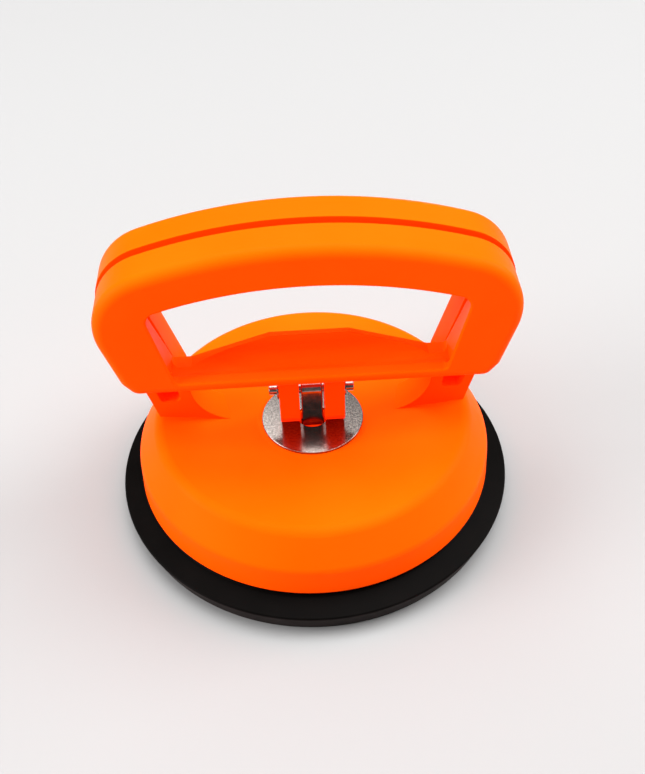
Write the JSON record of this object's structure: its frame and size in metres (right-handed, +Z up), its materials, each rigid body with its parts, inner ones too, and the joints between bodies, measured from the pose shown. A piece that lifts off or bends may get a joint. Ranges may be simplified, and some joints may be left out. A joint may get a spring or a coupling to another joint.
{
  "type": "vacuum suction cup",
  "caption": "Hand vacuum suction cup with a fixed handle, a folding cam lever handle, a steel pivot and lift strap, and a black rubber pad.",
  "frame": {"origin": "the cup's axis at the surface that its rubber lip sits on", "axes": "+Z up along the cup's axis, X along the handles, the lever handle on the -Y side"},
  "size_m": [0.1192, 0.1192, 0.0969],
  "materials": {
    "orange_plastic": "moulded, satin gloss",
    "zinc_steel": "zinc plated, fine grain",
    "bright_steel": "bright drawn",
    "dark_steel": "oiled spring steel",
    "black_rubber": "matt moulded rubber"
  },
  "bodies": {
    "base": {"base_shell": "orange_plastic", "wear_washer": "zinc_steel", "rubber_pad": "black_rubber"},
    "hanger": {"lift_strap": "bright_steel", "pivot_pin": "bright_steel", "pin_retainer_left": "dark_steel", "pin_retainer_right": "dark_steel", "insert_plate": "zinc_steel"},
    "lever": {"lever_handle": "orange_plastic"}
  },
  "joints": [
    {"name": "pad_lift", "type": "slide", "parent": "base", "child": "hanger", "axis": [0, 0, 1], "range_m": [-0.0026, 0], "deforming": ["rubber_pad"]},
    {"name": "lever_pivot", "type": "hinge", "parent": "hanger", "child": "lever", "pos_m": [0, 0, 0.0377], "axis": [1, 0, 0], "range_deg": [0, 60]}
  ],
  "couplings": [
    {"joint": "pad_lift", "follows": "lever_pivot", "m_per_rad": -0.0024}
  ]
}
